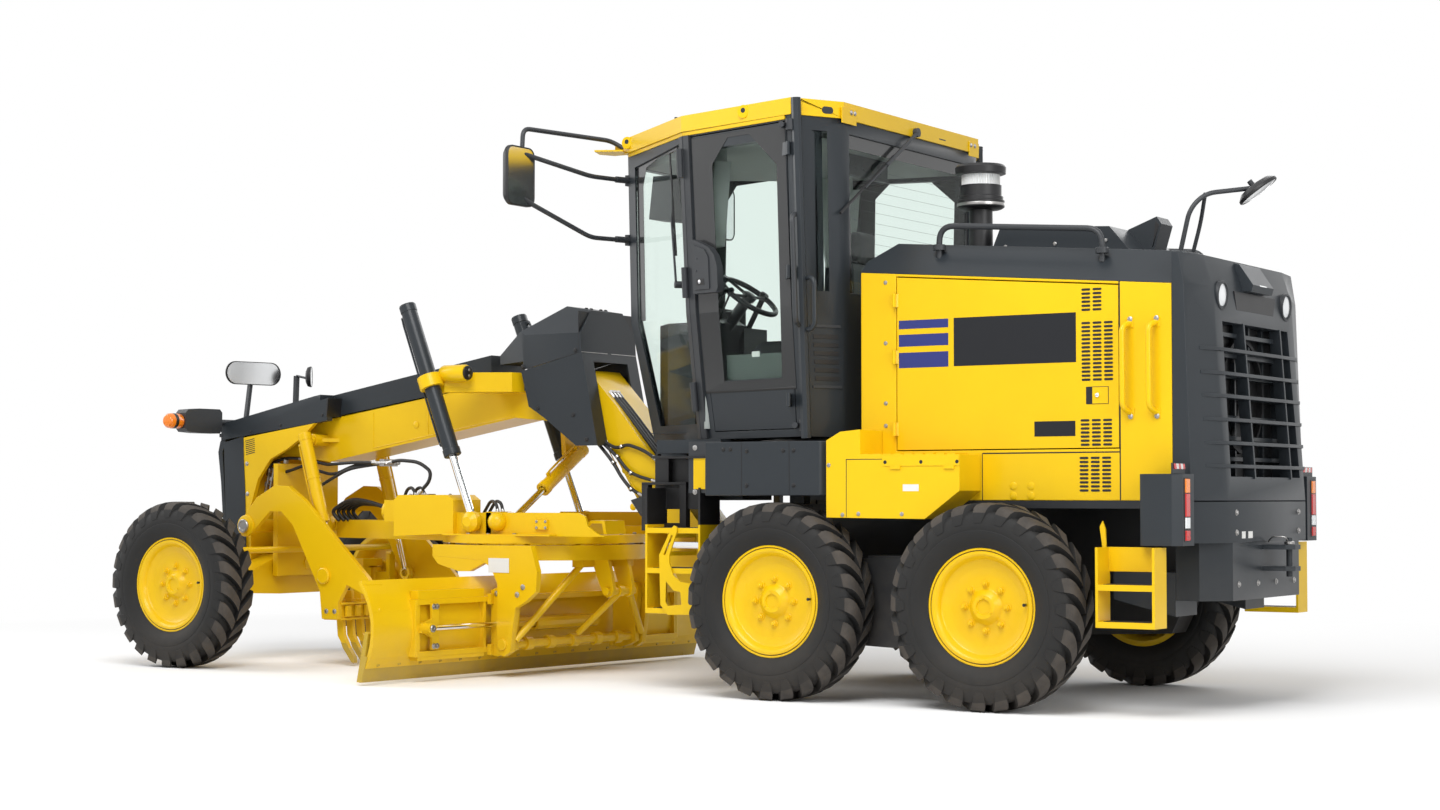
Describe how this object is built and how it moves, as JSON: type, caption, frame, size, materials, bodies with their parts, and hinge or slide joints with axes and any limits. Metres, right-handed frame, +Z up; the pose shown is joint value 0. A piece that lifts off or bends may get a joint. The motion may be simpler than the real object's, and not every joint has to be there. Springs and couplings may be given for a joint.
{
  "type": "motor grader",
  "caption": "Articulated motor grader with a hexagonal glazed cab, rear tandem wheels, a circle-mounted curved blade and a front scarifier.",
  "frame": {"origin": "on the ground, under the middle of the bounding box", "axes": "+Z up, -Y the way it drives forwards, +X its left side"},
  "size_m": [3.0987, 7.49, 3.217],
  "materials": {
    "yellow_paint": "gloss",
    "dark_paint": "satin",
    "dark_plastic": "matte",
    "rod_chrome": "polished",
    "edge_steel": "worn",
    "engine_iron": "matte",
    "tyre_rubber": "matte",
    "seat_cloth": "matte",
    "window_glass": "clear"
  },
  "bodies": {
    "rear_machine": {"rear_frame": "dark_paint", "tandem_axle": "yellow_paint", "rear_bumper": "dark_paint", "cab_base": "dark_paint", "tanks_and_steps": "yellow_paint", "cab_shell": "dark_paint", "cab_glass": "window_glass", "cab_roof": "dark_paint", "seat": "seat_cloth", "console": "dark_plastic", "hood_sides": "yellow_paint", "hood_top": "dark_paint", "engine": "engine_iron", "rear_grille": "dark_plastic", "intake_and_exhaust": "dark_paint", "rails": "yellow_paint", "tail_lamps": "dark_paint", "mirrors": "dark_paint"},
    "cab_door_left": {"door_left": "dark_paint", "door_glass_left": "window_glass"},
    "cab_door_right": {"door_right": "dark_paint", "door_glass_right": "window_glass"},
    "hood_door_left": {"hood_door_left": "yellow_paint"},
    "hood_door_right": {"hood_door_right": "yellow_paint"},
    "front_frame": {"front_beam": "yellow_paint", "beam_covers": "dark_paint", "front_axle": "yellow_paint", "front_fittings": "dark_paint"},
    "knuckle_left": {"knuckle_left": "yellow_paint"},
    "knuckle_right": {"knuckle_right": "yellow_paint"},
    "tie_rod": {"tie_rod": "dark_paint"},
    "drawbar": {"drawbar": "yellow_paint"},
    "lift_barrels": {"lift_barrels": "dark_paint"},
    "lift_rods": {"lift_rods": "rod_chrome"},
    "shift_barrel": {"shift_barrel": "yellow_paint"},
    "shift_rod": {"shift_rod": "rod_chrome"},
    "circle": {"circle": "yellow_paint"},
    "blade_carriers": {"blade_carriers": "dark_paint"},
    "blade": {"moldboard": "yellow_paint", "cutting_edge": "edge_steel"},
    "scarifier": {"scarifier_arms": "yellow_paint", "scarifier_rack": "yellow_paint"},
    "scarifier_barrels": {"scarifier_barrels": "yellow_paint"},
    "scarifier_rods": {"scarifier_rods": "rod_chrome"},
    "artic_barrel_left": {"artic_barrel_left": "dark_paint"},
    "artic_rod_left": {"artic_rod_left": "rod_chrome"},
    "artic_barrel_right": {"artic_barrel_right": "dark_paint"},
    "artic_rod_right": {"artic_rod_right": "rod_chrome"},
    "wheel_front_left": {"tyre_front_left": "tyre_rubber", "rim_front_left": "yellow_paint"},
    "wheel_front_right": {"tyre_front_right": "tyre_rubber", "rim_front_right": "yellow_paint"},
    "wheel_mid_left": {"tyre_mid_left": "tyre_rubber", "rim_mid_left": "yellow_paint"},
    "wheel_mid_right": {"tyre_mid_right": "tyre_rubber", "rim_mid_right": "yellow_paint"},
    "wheel_rear_left": {"tyre_rear_left": "tyre_rubber", "rim_rear_left": "yellow_paint"},
    "wheel_rear_right": {"tyre_rear_right": "tyre_rubber", "rim_rear_right": "yellow_paint"}
  },
  "joints": [
    {"name": "articulation", "type": "hinge", "parent": "rear_machine", "child": "front_frame", "pos_m": [0, 0.35, 0.8], "axis": [0, 0, 1], "range_deg": [-25, 25]},
    {"name": "steering_left", "type": "hinge", "parent": "front_frame", "child": "knuckle_left", "pos_m": [0.815, -3.22, 0.525], "axis": [0, 0, 1], "range_deg": [-36, 36]},
    {"name": "steering_right", "type": "hinge", "parent": "front_frame", "child": "knuckle_right", "pos_m": [-0.815, -3.22, 0.525], "axis": [0, 0, 1], "range_deg": [-36, 36]},
    {"name": "tie_rod_slide", "type": "slide", "parent": "front_frame", "child": "tie_rod", "axis": [1, 0, 0], "range_m": [-0.11536, 0.11536]},
    {"name": "wheel_front_left_spin", "type": "hinge", "parent": "knuckle_left", "child": "wheel_front_left", "pos_m": [1.004, -3.22, 0.525], "axis": [1, 0, 0], "continuous": true},
    {"name": "wheel_front_right_spin", "type": "hinge", "parent": "knuckle_right", "child": "wheel_front_right", "pos_m": [-1.004, -3.22, 0.525], "axis": [1, 0, 0], "continuous": true},
    {"name": "wheel_mid_left_spin", "type": "hinge", "parent": "rear_machine", "child": "wheel_mid_left", "pos_m": [1.004, 1.25, 0.525], "axis": [1, 0, 0], "continuous": true},
    {"name": "wheel_mid_right_spin", "type": "hinge", "parent": "rear_machine", "child": "wheel_mid_right", "pos_m": [-1.004, 1.25, 0.525], "axis": [1, 0, 0], "continuous": true},
    {"name": "wheel_rear_left_spin", "type": "hinge", "parent": "rear_machine", "child": "wheel_rear_left", "pos_m": [1.004, 2.5, 0.525], "axis": [1, 0, 0], "continuous": true},
    {"name": "wheel_rear_right_spin", "type": "hinge", "parent": "rear_machine", "child": "wheel_rear_right", "pos_m": [-1.004, 2.5, 0.525], "axis": [1, 0, 0], "continuous": true},
    {"name": "drawbar_lift", "type": "hinge", "parent": "front_frame", "child": "drawbar", "pos_m": [0, -2.85, 0.9], "axis": [1, 0, 0], "range_deg": [0, 11]},
    {"name": "lift_barrels_swing", "type": "hinge", "parent": "front_frame", "child": "lift_barrels", "pos_m": [0.56, -1.55, 1.785], "axis": [1, 0, 0], "range_deg": [0, 7.54]},
    {"name": "lift_rods_travel", "type": "slide", "parent": "lift_barrels", "child": "lift_rods", "axis": [0, 0.3695, -0.9292], "range_m": [-0.30333, 0]},
    {"name": "shift_barrel_swing", "type": "hinge", "parent": "front_frame", "child": "shift_barrel", "pos_m": [-0.3, -1.06, 1.35], "axis": [0, -1, 0], "range_deg": [0, 24.75]},
    {"name": "shift_rod_travel", "type": "slide", "parent": "shift_barrel", "child": "shift_rod", "axis": [0.8508, 0, -0.5255], "range_m": [-0.1341, 0]},
    {"name": "circle_turn", "type": "hinge", "parent": "drawbar", "child": "circle", "pos_m": [0, -1.08, 0.745], "axis": [0, 0, 1], "range_deg": [-31, 39]},
    {"name": "blade_pitch", "type": "hinge", "parent": "circle", "child": "blade_carriers", "pos_m": [0.01535, -0.86054, 0.2], "axis": [0.9976, -0.0698, 0], "range_deg": [-15, 0]},
    {"name": "blade_side_shift", "type": "slide", "parent": "blade_carriers", "child": "blade", "axis": [0.9976, -0.0698, 0], "range_m": [-0.25, 0.25]},
    {"name": "scarifier_lift", "type": "hinge", "parent": "front_frame", "child": "scarifier", "pos_m": [0, -3.21, 0.89], "axis": [1, 0, 0], "range_deg": [0, 15]},
    {"name": "scarifier_barrels_swing", "type": "hinge", "parent": "front_frame", "child": "scarifier_barrels", "pos_m": [0.35, -2.78, 1.45], "axis": [1, 0, 0], "range_deg": [0, 8.46]},
    {"name": "scarifier_rods_travel", "type": "slide", "parent": "scarifier_barrels", "child": "scarifier_rods", "axis": [0, 0.2848, -0.9586], "range_m": [-0.15845, 0]},
    {"name": "artic_barrel_left_swing", "type": "hinge", "parent": "rear_machine", "child": "artic_barrel_left", "pos_m": [0.45, 1.15, 0.8], "axis": [0, 0, 1], "range_deg": [-5.72, 5.72]},
    {"name": "artic_rod_left_travel", "type": "slide", "parent": "artic_barrel_left", "child": "artic_rod_left", "axis": [-0.1094, -0.994, 0], "range_m": [-0.15853, 0.15853]},
    {"name": "artic_barrel_right_swing", "type": "hinge", "parent": "rear_machine", "child": "artic_barrel_right", "pos_m": [-0.45, 1.15, 0.8], "axis": [0, 0, 1], "range_deg": [-5.72, 5.72]},
    {"name": "artic_rod_right_travel", "type": "slide", "parent": "artic_barrel_right", "child": "artic_rod_right", "axis": [0.1094, -0.994, 0], "range_m": [-0.15853, 0.15853]},
    {"name": "cab_door_left_swing", "type": "hinge", "parent": "rear_machine", "child": "cab_door_left", "pos_m": [1.08, 1.352, 2.2], "axis": [0, 0, 1], "range_deg": [0, 100]},
    {"name": "cab_door_right_swing", "type": "hinge", "parent": "rear_machine", "child": "cab_door_right", "pos_m": [-1.08, 1.352, 2.2], "axis": [0, 0, -1], "range_deg": [0, 100]},
    {"name": "hood_door_left_swing", "type": "hinge", "parent": "rear_machine", "child": "hood_door_left", "pos_m": [0.83, 1.852, 1.8], "axis": [0, 0, -1], "range_deg": [0, 100]},
    {"name": "hood_door_right_swing", "type": "hinge", "parent": "rear_machine", "child": "hood_door_right", "pos_m": [-0.83, 1.852, 1.8], "axis": [0, 0, 1], "range_deg": [0, 100]}
  ],
  "couplings": [
    {"joint": "steering_right", "follows": "steering_left", "ratio": 1},
    {"joint": "tie_rod_slide", "follows": "steering_left", "m_per_rad": -0.18},
    {"joint": "lift_barrels_swing", "follows": "drawbar_lift", "ratio": 0.67177},
    {"joint": "lift_rods_travel", "follows": "drawbar_lift", "m_per_rad": -1.549},
    {"joint": "shift_barrel_swing", "follows": "drawbar_lift", "ratio": 2.2056},
    {"joint": "shift_rod_travel", "follows": "drawbar_lift", "m_per_rad": -0.68478},
    {"joint": "scarifier_barrels_swing", "follows": "scarifier_lift", "ratio": 0.55304},
    {"joint": "scarifier_rods_travel", "follows": "scarifier_lift", "m_per_rad": -0.59337},
    {"joint": "artic_barrel_left_swing", "follows": "articulation", "ratio": 0.22417},
    {"joint": "artic_rod_left_travel", "follows": "articulation", "m_per_rad": -0.35619},
    {"joint": "artic_barrel_right_swing", "follows": "articulation", "ratio": 0.22417},
    {"joint": "artic_rod_right_travel", "follows": "articulation", "m_per_rad": 0.35619}
  ]
}
